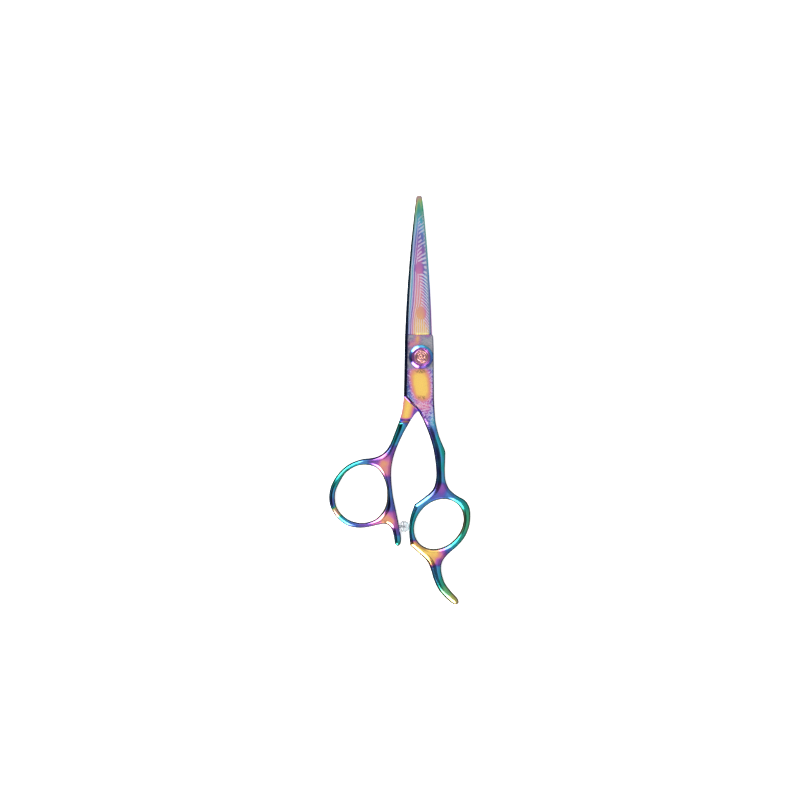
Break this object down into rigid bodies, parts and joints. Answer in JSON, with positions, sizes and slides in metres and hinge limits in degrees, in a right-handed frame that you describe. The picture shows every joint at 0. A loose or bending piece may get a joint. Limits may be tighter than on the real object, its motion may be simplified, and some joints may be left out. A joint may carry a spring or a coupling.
{
  "type": "thinning shears",
  "caption": "Hairdresser's thinning shears: a solid blade closing over a toothed blade on a ball-race pivot with a tension dial, offset finger rings, finger rest and bumper.",
  "frame": {"origin": "where the pivot axis meets the back face, which the shears rest on", "axes": "+Y from the pivot to the blade tips, +Z along the pivot axis from the back face to the tension dial, +X to the right seen from the dial side; the shears are closed"},
  "size_m": [0.0598, 0.1729, 0.008],
  "materials": {
    "rainbow_blade": "polished steel under a rainbow titanium film, with an etched grain pattern",
    "rainbow_handle": "mirror-polished steel under a rainbow titanium film",
    "rainbow_dial": "mirror-polished steel under a rainbow titanium film",
    "dial_disc": "relief-patterned disc under a rainbow titanium film",
    "plain_steel": "ground stainless steel",
    "race_steel": "hardened ground bearing steel",
    "bronze": "machined bearing bronze",
    "ptfe": "white PTFE",
    "cage_nylon": "black nylon",
    "silicone": "clear soft silicone"
  },
  "bodies": {
    "finger_half": {"cutting_blade": "rainbow_blade", "finger_handle": "rainbow_handle", "pivot_bush": "bronze", "ride_washer": "ptfe", "lower_race": "race_steel"},
    "thumb_half": {"thinning_blade": "rainbow_blade", "thumb_handle": "rainbow_handle", "pivot_bolt": "plain_steel", "upper_race": "race_steel", "click_spring": "plain_steel", "bumper": "silicone", "bumper_stud": "plain_steel"},
    "dial": {"tension_dial": "rainbow_dial", "dial_cap": "dial_disc"},
    "bearing": {"ball_cage": "cage_nylon", "bearing_balls": "race_steel"}
  },
  "joints": [
    {"name": "blade_pivot", "type": "hinge", "parent": "finger_half", "child": "thumb_half", "pos_m": [0, 0, 0.00303], "axis": [0, 0, -1], "range_deg": [0, 120]},
    {"name": "tension_adjust", "type": "hinge", "parent": "thumb_half", "child": "dial", "pos_m": [0, 0, 0.0065], "axis": [0, 0, 1], "range_deg": [-90, 90]},
    {"name": "bearing_orbit", "type": "hinge", "parent": "finger_half", "child": "bearing", "pos_m": [0, 0, 0.0055], "axis": [0, 0, -1], "range_deg": [0, 60]}
  ],
  "couplings": [
    {"joint": "bearing_orbit", "follows": "blade_pivot", "ratio": 0.5}
  ]
}
